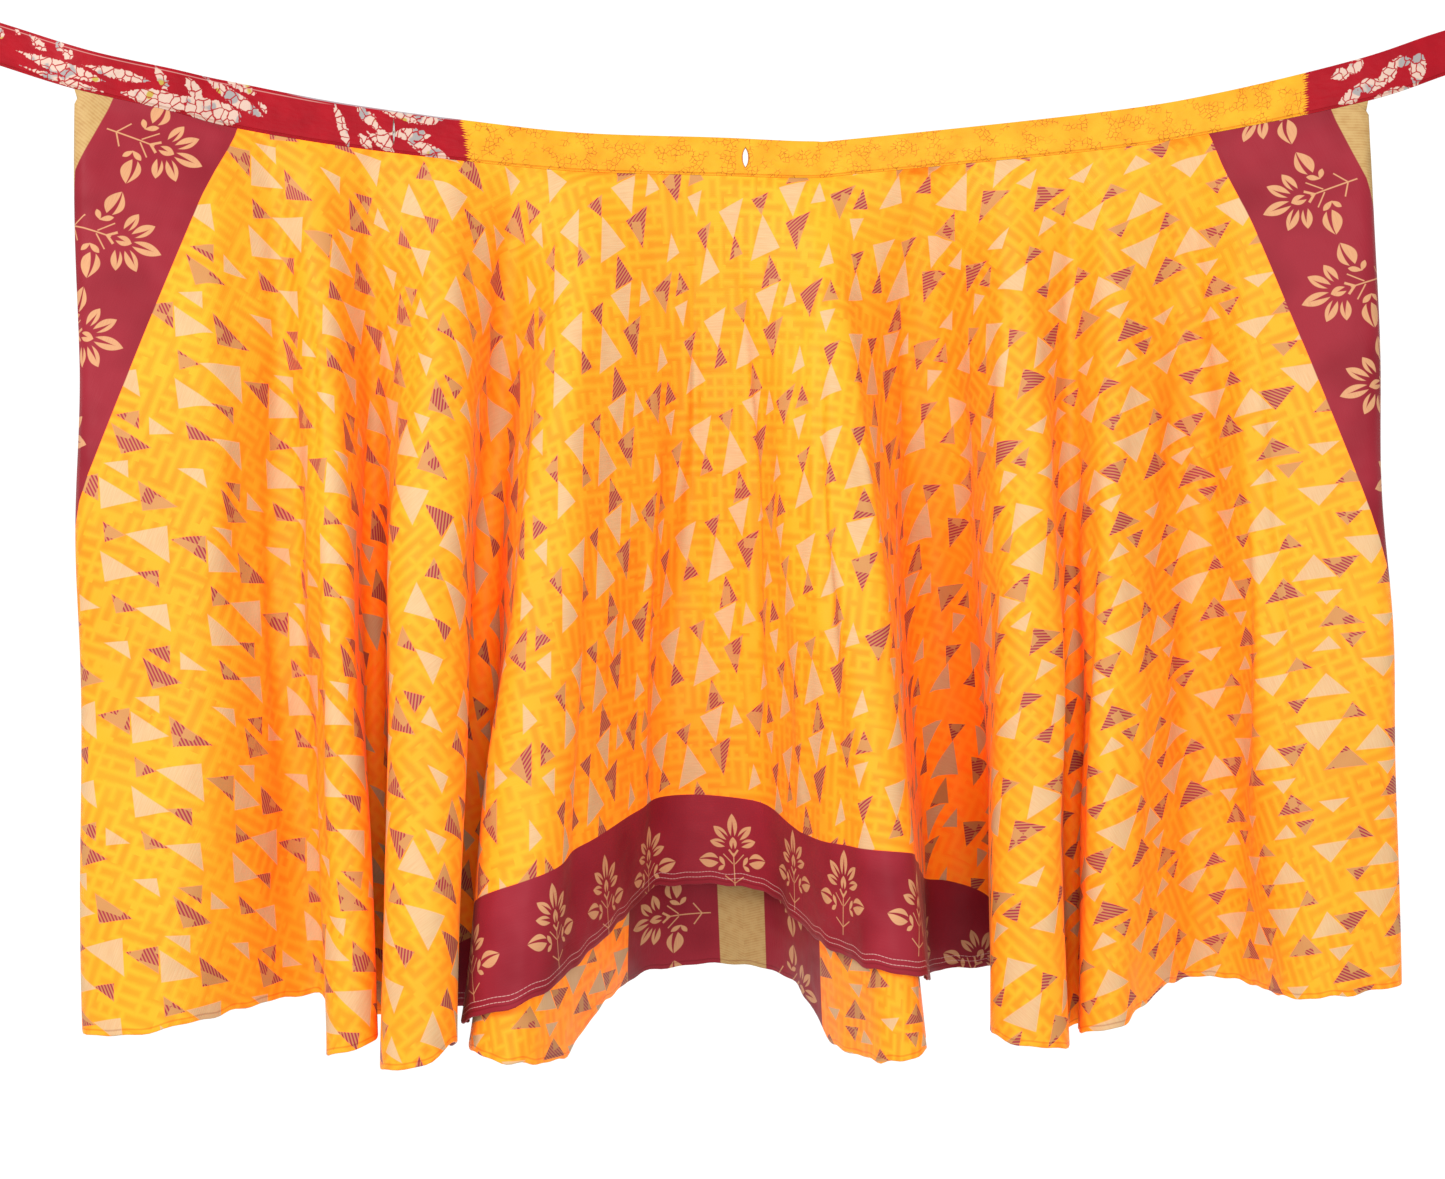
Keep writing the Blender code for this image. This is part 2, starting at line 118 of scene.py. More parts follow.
def smooth_line(rows, count):
    """Evenly spaced points on a cubic through the rows, its slopes from their neighbours."""
    knots = np.array(rows, float)
    knots = np.vstack([2 * knots[0] - knots[1], knots, 2 * knots[-1] - knots[-2]])
    u = np.linspace(0, 1, 30)[:, None]
    pieces = []
    for a, b, c, d in zip(knots[:-3], knots[1:-2], knots[2:-1], knots[3:]):
        start = (2 * u**3 - 3 * u**2 + 1) * b + (u**3 - 2 * u**2 + u) * (c - a) / 2
        end = (3 * u**2 - 2 * u**3) * c + (u**3 - u**2) * (d - b) / 2
        pieces.append(start + end)
    line = np.vstack(pieces)
    run = length_along(line)
    return points_along(line, run, np.linspace(0, run[-1], count))


def flat_radius(level):
    """Distance from the half circle's centre at a level of the cut."""
    return WAIST_RADIUS + level * DROP


BAND = smooth_line(LEFT_TIE + SEAM + RIGHT_TIE, 1200)
BAND_LINE = BAND[:, :3]
SEAM_ENDS = [np.abs(BAND_LINE[:, 0] - x).argmin() for x in (SEAM[0][0], SEAM[-1][0])]
SEAM_LINE = BAND_LINE[SEAM_ENDS[0] : SEAM_ENDS[1] + 1]
print("waist seam is %.3f m long" % length_along(SEAM_LINE)[-1])

# %% [markdown]
# ## How the cloth hangs
#
# Seen from above, hanging cloth is a belt laid round pegs: an arc at each fold
# and a straight run to the next. At each level the cloth has a known length, so
# the folds are made just deep enough to use it up. A cloth simulation would
# find folds of its own; this way they are the folds of the real skirt.

# %% Belt round the pegs
PLACE = np.array([row[1:3] for row in FOLDS])
RADIUS = np.array([row[3] for row in FOLDS])
DEEPER_UNDER = np.array([row[5] for row in FOLDS])
TO_CENTRE = {"front": (0, 1), "back": (0, -1), "left": (1, 0), "right": (-1, 0), "end": (0, 0)}
INWARD = np.array([TO_CENTRE[row[4]] for row in FOLDS], float)
TURN = np.array([-1.0 if row[4] == "back" else 1.0 for row in FOLDS])
FACING = {"left": -math.pi / 2, "right": math.pi / 2}
OUTERMOST = np.array([FACING.get(row[4], 0.0) for row in FOLDS])
GROWTH = np.array([1.15 if row[0] == "arch" else 0.65 for row in FOLDS])


def belt(place, radius):
    """The cloth laid round the pegs, in arcs and the tangent lines between them.

    Returns the points, the length up to each peg and the whole length.
    """
    centre = place + INWARD * radius[:, None]
    apart = np.diff(centre, axis=0)
    across = TURN[1:] * radius[1:] - TURN[:-1] * radius[:-1]
    far = np.hypot(apart[:, 0], apart[:, 1])
    heading = np.arctan2(apart[:, 1], apart[:, 0]) - np.arcsin(np.clip(across / far, -1, 1))
    heading = (heading + math.pi) % (2 * math.pi) - math.pi
    heading[0] -= 2 * math.pi * (heading[0] > 0)
    heading[-1] += 2 * math.pi * (heading[-1] < 0)
    points = [centre[:1]]
    reached = [0.0]
    run = 0.0
    for k in range(1, len(place) - 1):
        turn = heading[k] - heading[k - 1]
        sweep = heading[k - 1] + np.linspace(0, 1, 17) * turn
        arc = centre[k] + TURN[k] * radius[k] * np.column_stack([np.sin(sweep), -np.cos(sweep)])
        run += np.linalg.norm(arc[0] - points[-1][-1])
        share = 0.5
        if abs(turn) > 1e-6:
            share = np.clip((OUTERMOST[k] - heading[k - 1]) / turn, 0, 1)
        reached.append(run + radius[k] * abs(turn) * share)
        run += radius[k] * abs(turn)
        points.append(arc)
    run += np.linalg.norm(centre[-1] - points[-1][-1])
    reached.append(run)
    points.append(centre[-1:])
    return np.vstack(points), np.array(reached), run


HEM_REACHED, HEM_LENGTH = belt(PLACE, RADIUS)[1:]
FOLD_ANGLE = HEM_REACHED / HEM_LENGTH * math.pi
print("folds at", np.degrees(FOLD_ANGLE).round(1), "degrees of the cut")


# %% Pegs at each level
def seam_at(angle):
    """Where an angle of the cut is sewn to the waistband: in proportion along the seam."""
    return points_along(SEAM_LINE, np.linspace(0, math.pi, len(SEAM_LINE)), angle)


def room(a, b):
    """Greatest sum of radii of two opposite folds: distance squared over twice the depth."""
    apart = b - a
    return (apart @ apart) / (2 * max(abs(apart[1]), 1e-6))


def pegs(level, deepen):
    """Place and radius of each fold's peg: from the seam out to its place at full drop."""
    start = seam_at(FOLD_ANGLE)[:, :2]
    grown = level**GROWTH
    x = start[:, 0] + (PLACE[:, 0] - start[:, 0]) * level
    y = start[:, 1] + (PLACE[:, 1] - start[:, 1]) * grown * deepen
    place = np.column_stack([x, y])
    corners = seam_at([0, math.pi])[:, :2]
    radius = flat_radius(level)
    turns = []
    for side, edge, roll, back_by in ((0, 0, 1, math.radians(20)), (1, -1, -2, math.radians(18))):
        # the opening edge is turned back along a chord of the cut
        width = radius * (back_by - math.asin(WAIST_RADIUS * math.sin(back_by) / radius))
        place[roll] = corners[side] + (PLACE[roll] - corners[side]) * level
        back = (PLACE[edge, 1] - PLACE[roll, 1]) * grown[roll] * deepen
        back = min(back, 0.75 * width)
        place[edge] = place[roll] + (INWARD[roll, 0] * math.sqrt(width**2 - back**2), back)
        turns.append(min(0.006 + 0.020 * grown[roll], 0.35 * width))
    radius = RADIUS.copy()
    for k in range(2, len(place) - 2):
        others = [n for n in (k - 1, k + 1) if TURN[n] != TURN[k]]
        if others:
            least = min(room(place[n], place[k]) for n in others)
            radius[k] = min(max(RADIUS[k], 0.22 * least), 0.46 * least)
    radius[1], radius[-2] = turns
    return place, radius


def depth_at(level):
    """Fold depth at a level, found by halving, so that the belt is as long as the half circle."""
    want = math.pi * (WAIST_RADIUS + level * DROP * 1.05 * level / (level + 0.05))
    low, high = 0.3, 3.0
    for _ in range(14):
        middle = (low + high) / 2
        if belt(*pegs(level, middle))[2] < want:
            low = middle
        else:
            high = middle
    return middle


# %% Section of the cloth at one level
STEP = 0.002


def softened(line, spread):
    """The line with each point moved to the weighted mean of its neighbours, and its length before."""
    run = length_along(line)
    even = points_along(line, run, np.linspace(0, run[-1], int(run[-1] / STEP) + 2))
    reach = max(1, int(3 * spread / STEP))
    weight = np.exp(-0.5 * (np.arange(-reach, reach + 1) * STEP / spread) ** 2)
    weight /= weight.sum()
    padded = np.vstack([2 * even[0] - even[reach:0:-1], even, 2 * even[-1] - even[-2 : -reach - 2 : -1]])
    soft = np.column_stack([np.convolve(padded[:, k], weight, "valid") for k in (0, 1)])
    return soft, np.linspace(0, run[-1], len(soft))


def section(level, columns):
    """Flat angle of each column at this level, and where it lies seen from above."""
    line, reached, whole = belt(*pegs(level, depth_at(level)))
    angle = FOLD_ANGLE.copy()
    angle[:3] = reached[:3] / flat_radius(level)
    angle[-3:] = math.pi - (whole - reached[-3:]) / flat_radius(level)
    line, run = softened(line, 0.002 + 0.008 * level)
    where = np.interp(columns, FOLD_ANGLE, reached) * run[-1] / whole
    return np.interp(columns, FOLD_ANGLE, angle), points_along(line, run, where)


def behind(line):
    """Step from each point of a line seen from above to a parallel line one unit behind it."""
    along = unit(np.diff(line, axis=0))
    aside = np.column_stack([-along[:, 1], along[:, 0]])
    both = np.vstack([aside[:1], aside[:-1] + aside[1:], aside[-1:]])
    return unit(both)


# %% [markdown]
# ## Letting the cloth fall
#
# Each column of the grid goes down from the seam a step at a time. The cloth
# between two levels has a known length. What it moves sideways is taken from
# that, and the rest is the fall, so a deep fold hangs a little shorter.

# %% Fall from the seam to the hem
LEVELS = 84
LOWEST_LEVEL = 1.06
WAIST_MARGIN = math.radians(1.5)
LEAST_FALL = 0.35  # of each step, however far it moves sideways
HALF_GAP = 0.0012


def flat_points(angle, level):
    """Place in the flat cut: a circle's point at the angle, its radius growing with the level."""
    return flat_radius(level) * np.stack([np.cos(angle), np.sin(angle)], axis=-1)


def eased(angles, values):
    """Values at the folds, carried by half a cosine wave from each fold to the next."""
    k = np.clip(np.searchsorted(FOLD_ANGLE, angles) - 1, 0, len(FOLD_ANGLE) - 2)
    share = (angles - FOLD_ANGLE[k]) / (FOLD_ANGLE[k + 1] - FOLD_ANGLE[k])
    share = (1 - np.cos(math.pi * np.clip(share, 0, 1))) / 2
    return values[k] + (values[k + 1] - values[k]) * share


def hem_drop(columns, under):
    """Drop of each column from seam to hem: the table, averaged over 1.2 degrees."""
    table = np.array(HEM)
    spread = columns[:, None] + np.radians(np.linspace(-0.6, 0.6, 9))
    drop = np.interp(spread, np.radians(table[:, 0]), table[:, 2 if under else 1] / 1e3).mean(axis=1)
    return drop + 0.0010 * np.sin(143 * columns + 1) + 0.0008 * np.sin(229 * columns)


def smoothed(values, count):
    """The weighted mean of each value and its neighbours, under a Hann bell of this many values."""
    bell = np.hanning(count + 2)[1:-1]
    return np.convolve(np.pad(values, count // 2, "edge"), bell / bell.sum(), "valid")


def fall(columns, under):
    """Path of each column down the levels: x, y, z and flat angle, levels by columns by 4."""
    waist = FOLD_ANGLE.copy()
    waist[1], waist[-2] = WAIST_MARGIN, math.pi - WAIST_MARGIN
    angle = np.interp(columns, FOLD_ANGLE, waist)
    seam = seam_at(angle)
    place, height = seam[:, :2], seam[:, 2] - 0.0002
    cloth = flat_points(angle, 0)
    deeper = eased(columns, DEEPER_UNDER)
    path = []
    for level in np.linspace(0, LOWEST_LEVEL, LEVELS + 1):
        if level > 0:
            last_cloth, last_place = cloth, place
            angle, place = section(level, columns)
            cloth = flat_points(angle, level)
            step = ((cloth - last_cloth) ** 2).sum(axis=1)
            moved = ((place - last_place) ** 2).sum(axis=1)
            height = height - np.sqrt(np.maximum(step - moved, LEAST_FALL**2 * step))
        if under:
            layer = place + behind(place) * (HALF_GAP + 0.008 * level**0.65)
            layer[:, 1] += deeper * level
        else:
            layer = place - behind(place) * HALF_GAP
        path.append(np.column_stack([layer, height, angle]))
    return np.array(path)


def drape(columns, rows, under):
    """Grid of points, flat angles and levels, read off the path of every column at once."""
    path = fall(columns, under)
    level = rows[:, None] * hem_drop(columns, under)[None, :] / DROP
    at = level / LOWEST_LEVEL * LEVELS
    k = np.minimum(at.astype(int), LEVELS - 1)
    share = (at - k)[..., None]
    column = np.arange(len(columns))[None, :]
    grid = path[k, column] * (1 - share) + path[k + 1, column] * share
    return grid[..., :3], grid[..., 3], level


# %% [markdown]
# ## Creases
#
# Between the big folds the cloth has shallow ridges and troughs that run down
# from the seam. Each is a row of a table, pushed in or out along the cloth's
# normal, so it can be moved by hand until it matches.

# %% Table of creases
CREASES = (
    # angle high, angle low, from level, to level, width in degrees, height in mm
    (25.5, 24.3, 0.2, 1, 1.6, -7), (30.4, 30.5, 0.18, 0.95, 1.1, -8), (20, 21.2, 0.3, 1, 2.4, 6),
    (16, 15.6, 0.45, 1.05, 1.5, 4), (46, 49.2, 0.2, 0.95, 1.5, 6), (60.4, 61, 0.04, 0.34, 2, -7),
    (67, 70.4, 0.18, 0.95, 2.2, 7), (75.5, 74.4, 0.4, 0.98, 1.8, -6),
    (82.2, 81.6, 0.26, 0.8, 1.5, 6), (86.4, 84.2, 0.08, 0.86, 1.3, -8),
    (88.8, 87.6, 0.2, 0.74, 1.1, 5), (92.2, 90.8, 0.12, 0.86, 1.2, -8),
    (97, 95.5, 0.12, 0.8, 1.7, 6), (101.6, 99.4, 0.18, 0.92, 1.2, -8),
    (104.8, 103, 0.2, 0.95, 1.6, 6), (115.2, 118, 0.16, 0.6, 1.6, -6),
    (131, 130.5, 0.1, 0.5, 1.6, -6), (135, 133, 0.25, 0.95, 1.8, 6),
    (144.3, 142.8, 0.2, 0.9, 1.3, -7), (150.4, 146.2, 0.18, 0.96, 1.8, 6),
    (156.2, 152.2, 0.1, 0.96, 1.4, -8), (160.8, 159.4, 0.3, 0.94, 1.5, 6),
    (164.4, 161.6, 0.12, 0.92, 1.3, -7), (167.5, 169, 0.4, 1, 1.6, 4),
)


def normals_of(grid):
    """Unit normals of a grid, towards the front: cross product of its two directions."""
    across = np.gradient(grid, axis=1)
    down = np.gradient(grid, axis=0)
    return unit(np.cross(down, across))


def creased(grid, columns, level):
    """The grid pushed along its normals: each crease is a bell across and a half wave along."""
    push = np.zeros(level.shape)
    degrees = np.degrees(columns)[None, :]
    for high, low, start, end, width, height in CREASES:
        along = np.clip((level - start) / (end - start), 0, 1)
        middle = high + (low - high) * along + 0.5 * np.sin(9 * level + high)
        across = (degrees - middle) / (width * (0.75 + 0.35 * np.sin(7 * level + 2 * high)))
        push += height * 1e-3 * np.exp(-(across**2)) * np.sin(math.pi * along) ** 0.8
    for waves, lean, height in ((23, 5, 1.8), (41, -8, 1.1), (67, 11, 0.7)):
        wave = np.sin(waves * columns[None, :] + lean * level + 3 * np.sin(4.1 * level + waves))
        push += height * 1e-3 * wave * np.clip(level / 0.3, 0, 1)
    ruffle = np.sin(97 * columns) + 0.8 * np.sin(171 * columns + 2) * np.sin(7 * columns)
    push += 0.0011 * ruffle * np.exp((level - level[-1]) * DROP / 0.030)
    return grid + push[..., None] * normals_of(grid)


# %% [markdown]
# ## From grid to cloth
#
# A grid becomes a mesh with its flat cut kept as a UV map. The lowest rows curl
# back on themselves like a narrow rolled hem, whose round edge shows from below
# and from behind.

# %% Rolled hem
ROLL_RADIUS = 0.0015
ROLL_TURN = 1.6 * math.pi
ROLL_ROWS = 7


def rolled(grid):
    """Rows added under the grid: four fifths of a turn round a small circle behind the hem."""
    normal = normals_of(grid)[-1]
    down = unit(grid[-1] - grid[-2])
    turn = np.linspace(0, ROLL_TURN, ROLL_ROWS + 1)[1:, None, None]
    centre = grid[-1] - ROLL_RADIUS * normal
    roll = centre + ROLL_RADIUS * (np.cos(turn) * normal + np.sin(turn) * down)
    return np.concatenate([grid, roll])


def with_roll(values, step):
    """The same rows added to a grid of values, which go on by a step in each."""
    return np.concatenate([values, values[-1] + step * np.arange(1, ROLL_ROWS + 1)[:, None]])


# %% Grid into a mesh
def placed(name, data):
    """A new object in the scene that shows this mesh, lamp or camera."""
    obj = bpy.data.objects.new(name, data)
    bpy.context.scene.collection.objects.link(obj)
    return obj


def surface(name, grid, maps=(), values=(), closed=False):
    """Object of a grid, rows by columns: faces join each point to its right and lower neighbours.

    maps are UV maps by name, values are numbers kept on the points by name.
    """
    rows, columns = grid.shape[:2]
    index = np.arange(rows * columns).reshape(rows, columns)
    if closed:
        index = np.vstack([index, index[:1]])
    a, b, c, d = index[:-1, :-1], index[1:, :-1], index[1:, 1:], index[:-1, 1:]
    faces = np.stack([a, b, c, d], axis=-1).reshape(-1, 4)
    mesh = bpy.data.meshes.new(name)
    mesh.from_pydata(grid.reshape(-1, 3).tolist(), [], faces.tolist())
    corner = np.empty(len(mesh.loops), int)
    mesh.loops.foreach_get("vertex_index", corner)
    for map_name, uv in dict(maps).items():
        layer = mesh.uv_layers.new(name=map_name)
        layer.data.foreach_set("uv", uv.reshape(-1, 2)[corner].astype(np.float32).ravel())
    for value_name, value in dict(values).items():
        kept = mesh.attributes.new(value_name, "FLOAT", "POINT")
        kept.data.foreach_set("value", value.astype(np.float32).ravel())
    mesh.shade_smooth()
    print(name, len(mesh.vertices), "points", len(mesh.polygons), "faces")
    return placed(name, mesh)


# %% Border line at the middle of the hem
NEAR_BORDER = 0.155
HEM_STITCHES = 0.018
CLEAR = 0.003
BORDER = (
    # angle in degrees, height of the far border above the hem in mm
    (50, -20), (52, 0), (56, 20), (61, 72), (66, 112), (71, 120), (76, 118), (80, 110),
    (85, 102), (91, 100), (95, 102), (100, 116), (105, 122), (112, 120), (117, 100), (122, 62),
    (126, 30), (130, 0), (132, -20),
)


def hung(columns, rows, under):
    """The draped and creased grid of a layer, its flat radius and angle, and height above the hem."""
    grid, angle, level = drape(columns, rows, under)
    grid = rolled(creased(grid, columns, level))
    roll = ROLL_RADIUS * ROLL_TURN / ROLL_ROWS
    above = with_roll((level[-1] - level) * DROP, -roll)
    return grid, flat_radius(with_roll(level, roll / DROP)), with_roll(angle, 0), above


def piece(name, layer, columns, part, across, along, border=None):
    """Mesh of the columns in one part of a layer, and its flat area without the roll.

    Its faces get number 1 where a border or the hem's stitches come near, else 0.
    """
    grid, radius, _, above = (values[:, part] for values in layer)
    columns = columns[part]
    border = np.full(above.shape, -1.0) if border is None else border[:, part]
    hem = np.stack([np.broadcast_to(columns * HEM_RADIUS, above.shape), above], axis=-1)
    cut = np.stack([along, across], axis=-1)[:, part]
    obj = surface(name, grid, {"cut": cut, "hem": hem}, {"border": border})
    near = (cut[..., 1] < NEAR_BORDER + CLEAR) | (above < HEM_STITCHES) | (border > -CLEAR)
    near = near[:-1, :-1] | near[1:, :-1] | near[1:, 1:] | near[:-1, 1:]
    obj.data.polygons.foreach_set("material_index", near.ravel().astype(np.int32))
    print(near.sum(), "faces near a border or hem")
    shown = np.trapz((radius[-ROLL_ROWS - 1] ** 2 - WAIST_RADIUS**2) / 2, columns)
    return obj, float(shown)


# %% Drape the outer layer
OUTER_COLUMNS = np.linspace(0, math.pi, 620)
layer = hung(OUTER_COLUMNS, np.linspace(0, 1, 146) ** 1.08, False)
radius, angle = layer[1:3]
far_border = np.interp(np.degrees(OUTER_COLUMNS), *np.array(BORDER).T) / 1e3
border_drop = hem_drop(OUTER_COLUMNS, False) - far_border
border = radius - WAIST_RADIUS - smoothed(border_drop, 31)
outer, outer_area = piece(
    "outer_layer_cloth", layer, OUTER_COLUMNS, slice(None),
    radius * np.sin(angle), -radius * np.cos(angle), border,
)

# %% [markdown]
# The two halves of the under layer are sewn together in the middle, so both are
# draped in one grid and parted along the join. It takes up 11 mm of each
# selvedge, and each half was cut from its own stretch of the sari, so its
# flowers start at a height of their own.

# %% Drape the under layer
SEAM_ALLOWANCE = 0.011
HALF = 260
start, end = FOLD_ANGLE[1] + SIDE_MARGIN, FOLD_ANGLE[-2] - SIDE_MARGIN
columns = np.concatenate([np.linspace(start, UNDER_JOIN, HALF), np.linspace(UNDER_JOIN, end, HALF)[1:]])
layer = hung(columns, np.linspace(0, 1, 110) ** 1.08, True)
radius, angle = layer[1:3]
unders = []
for name, part, along_print in (
    ("under_layer_cloth_left", slice(0, HALF), -0.050),
    ("under_layer_cloth_right", slice(HALF - 1, None), -0.014),
):
    across = radius * np.sin(abs(angle - UNDER_JOIN)) + SEAM_ALLOWANCE
    along = radius * np.cos(angle - UNDER_JOIN) + along_print
    unders.append(piece(name, layer, columns, part, across, along))
(left, left_area), (right, right_area) = unders
print("flat areas %.3f %.3f %.3f m2" % (outer_area, left_area, right_area))

# %% [markdown]
# ## Arithmetic in nodes
#
# The print is drawn with maths on the flat cut's coordinates, which takes
# hundreds of Math nodes. This small class adds one node for each sign, so the
# pattern can be written like plain arithmetic.


# %% Node arithmetic
class Wire:
    """A number or vector that flows through a material. Each sign or method adds one node."""

    def __init__(self, tree, socket):
        self.tree = tree
        self.socket = socket

    def math(self, operation, *values, clamp=False):
        return added(self.tree, "ShaderNodeMath", (self, *values), operation=operation, use_clamp=clamp)

    __add__ = __radd__ = partialmethod(math, "ADD")
    __sub__ = partialmethod(math, "SUBTRACT")
    __rsub__ = partialmethod(math, "MULTIPLY_ADD", -1.0)
    __mul__ = __rmul__ = partialmethod(math, "MULTIPLY")
    __abs__ = partialmethod(math, "ABSOLUTE")
    least = partialmethod(math, "MINIMUM")
    most = partialmethod(math, "MAXIMUM")
    scaled = partialmethod(math, "MULTIPLY_ADD")

    def wrapped(self, half):
        """The number brought between minus half and half, so what follows repeats."""
        return self.math("WRAP", half, -half)

    def edge(self, width):
        """0 below nothing and 1 above it, soft over the width."""
        return self.math("MULTIPLY_ADD", 1 / width, 0.5, clamp=True)

    def vector(self, operation, *others):
        return added(self.tree, "ShaderNodeVectorMath", (self, *others), operation=operation)

    def dot(self, x, y, z=0.0):
        """The vector's numbers added up, each times one of these."""
        return added(self.tree, "ShaderNodeVectorMath", (self, (x, y, z)), "Value", operation="DOT_PRODUCT")

    def parted(self):
        """The first two numbers of the vector."""
        x = added(self.tree, "ShaderNodeSeparateXYZ", (self,))
        return x, Wire(self.tree, x.socket.node.outputs[1])


def plug(socket, value):
    """Joins a wire to a socket, or sets the socket to a plain number."""
    if isinstance(value, Wire):
        value.tree.links.new(value.socket, socket)
    else:
        socket.default_value = value


def added(tree, kind, values=(), output=0, **settings):
    """What comes out of a new node with these settings, its inputs set or joined to wires."""
    node = tree.nodes.new(kind)
    for name, setting in settings.items():
        setattr(node, name, setting)
    for socket, value in zip(node.inputs, values):
        plug(socket, value)
    return Wire(tree, node.outputs[output])


def joined(x, y, z=0.0):
    """Three numbers or wires joined into one vector."""
    return added(x.tree, "ShaderNodeCombineXYZ", (x, y, z))


def coordinates(tree, map_name):
    """A UV map in metres of cloth: the vector and its two numbers."""
    place = added(tree, "ShaderNodeUVMap", uv_map=map_name)
    return place, *place.parted()


def noise(place, across, along, detail=1, shift=(0, 0)):
    """Noise at a place, about 0 to 1, with so many waves to the metre across and along."""
    waves = place.vector("MULTIPLY_ADD", (across, along, 0), (*shift, 0))
    found = added(place.tree, "ShaderNodeTexNoise", (waves,), noise_dimensions="2D")
    found.socket.node.inputs["Scale"].default_value = 1
    found.socket.node.inputs["Detail"].default_value = detail
    return found


def chance(place, across, along, shift=(0, 0)):
    """A number from 0 to 1 by chance, the same all over each cell of a grid."""
    cell = place.vector("MULTIPLY_ADD", (across, along, 0), (*shift, 0)).vector("FLOOR")
    return added(place.tree, "ShaderNodeTexWhiteNoise", (cell,), noise_dimensions="2D")


def paint(under, over, mask, blend="MIX"):
    """Colour over colour where the mask is 1. A colour is three numbers or a wire."""
    node = mask.tree.nodes.new("ShaderNodeMix")
    node.data_type = "RGBA"
    node.blend_type = blend
    plug(node.inputs["Factor"], mask)
    for socket, colour in ((node.inputs[6], under), (node.inputs[7], over)):
        plug(socket, colour if isinstance(colour, Wire) else (*colour, 1))
    return Wire(mask.tree, node.outputs[2])


LIGHT = 1.8


def linear(red, green, blue):
    """Colour that looks like this when lit: shares of 255 to the power 2.2, divided by the light."""
    return tuple((c / 255) ** 2.2 / LIGHT for c in (red, green, blue))


# %% [markdown]
# ## The border's flower
#
# The border repeats one sprig. A leaf is the space between two parabolas, so one
# formula draws all of them from a short table. Both halves of the sprig are
# alike, and the sign of x is dropped before the table is used.

# %% Sprig
RIB = 2.7  # half width of the dark rib at the leaf's base, in mm
LEAVES = (
    # base x, base y, angle, length, width in mm, fuller tip, bend of the dark rib, its share
    (0, 65, 90, 31.5, 12.5, 0.1, 0, 0.72), (5.5, 63, 44, 26, 11, 0.2, 0.2, 0.75),
    (8, 56, 17, 22.5, 10.5, 0.2, 0.2, 0.75), (18.5, 36.5, 8, 26.5, 18.5, -0.3, 0.22, 1.15),
    (12, 30.5, 62, 13.5, 5.2, 0.7, 0, 0), (12, 31.5, -38, 11, 5, 0.7, 0, 0),
    (0, 49.5, 90, 17.5, 9.5, 0.3, 0, 0.62),
)
TWIGS = (
    # from x, y to x, y, half width in mm
    (0, 0, 0, 46, 0.65), (0, 8.5, 12, 17, 0.65), (2, 33.5, 13, 45, 0.6), (0, 43, 5.2, 50, 1.2),
)


def leaf(place, row):
    """Below nothing inside the leaf: the distance to its middle line, less s(1 - s) times its fullness.

    place is x, y and 1, so that one dot product gives s, and one more the distance.
    """
    base_x, base_y, angle, length, width, full, bend, rib = row
    cos, sin = math.cos(math.radians(angle)), math.sin(math.radians(angle))
    s = place.dot(-cos / length, -sin / length, (base_x * cos + base_y * sin) / length)
    t = place.dot(-sin, cos, base_x * sin - base_y * cos)
    bow = s.scaled(s, s)
    fullness = s.scaled(-2 * width * full, width * (2 - full)).most(0.6 * width)
    outside = bow.scaled(fullness, abs(t))
    if rib:
        off_rib = abs(bow.scaled(bend * 2 * width, t))
        outside = outside.most(s.scaled(RIB / rib, RIB) - off_rib)
    return outside


def twig(place, row):
    """Below nothing inside a short straight line with a width."""
    x0, y0, x1, y1, half = row
    length = math.hypot(x1 - x0, y1 - y0)
    cos, sin = (x1 - x0) / length, (y1 - y0) / length
    middle_x, middle_y = (x0 + x1) / 2, (y0 + y1) / 2
    along = place.dot(cos, sin, -middle_x * cos - middle_y * sin)
    aside = place.dot(-sin, cos, middle_x * sin - middle_y * cos)
    return (abs(aside) - half).most(abs(along) - (length / 2 + half))


def nearest(parts):
    """The least of several distances, so that the shapes join into one."""
    return reduce(lambda a, b: a.least(b), parts)


def sprig(x, y):
    """Mask of the sprig, x and y in mm from the foot of its stem."""
    place = joined(abs(x), y, 1.0)
    parts = [leaf(place, row) for row in LEAVES] + [twig(place, row) for row in TWIGS]
    return nearest(parts).edge(-0.6)


# %% [markdown]
# ## The printed ground
#
# The yellow cloth is covered with small blocks. Each cell of a fine grid holds a
# square, and chance joins some squares to a neighbour, so bars, corners and
# hooks come about by themselves. Over them lie triangles in pairs that touch at
# their tips, some cream, some tan with striped patches. The triangles repeat on
# a slanted grid, so each is one row of a table.

# %% Ground of small blocks
BLOCK = 0.0122
JOIN = 0.42


def blocks(place):
    """1 on the blocks: squares, and the bars between two squares that chance has joined."""
    many = 1 / BLOCK
    inside = place.vector("MULTIPLY", (many, many, 0)).vector("WRAP", (0.5,) * 3, (-0.5,) * 3)
    aside, above = inside.vector("ABSOLUTE").parted()
    square = chance(place, many, many, (70.5, 0.5)).scaled(0.10, 0.24) - aside.most(above)
    square = square + (chance(place, many, many, (40.5, 0.5)) - 0.14).edge(0.01) - 1.0
    way = (chance(place, many * 0.34, many * 0.5, (11, 0)) - 0.5).edge(0.01) * JOIN
    along_join = (chance(place, many, many, (300, 0.5)) + way - 0.90).edge(0.01)
    across_join = (chance(place, many, many, (600.5, 0)) - way - (0.90 - JOIN)).edge(0.01)
    bars = (along_join - above).most(across_join - aside) - 0.73
    return square.most(bars).edge(0.32)


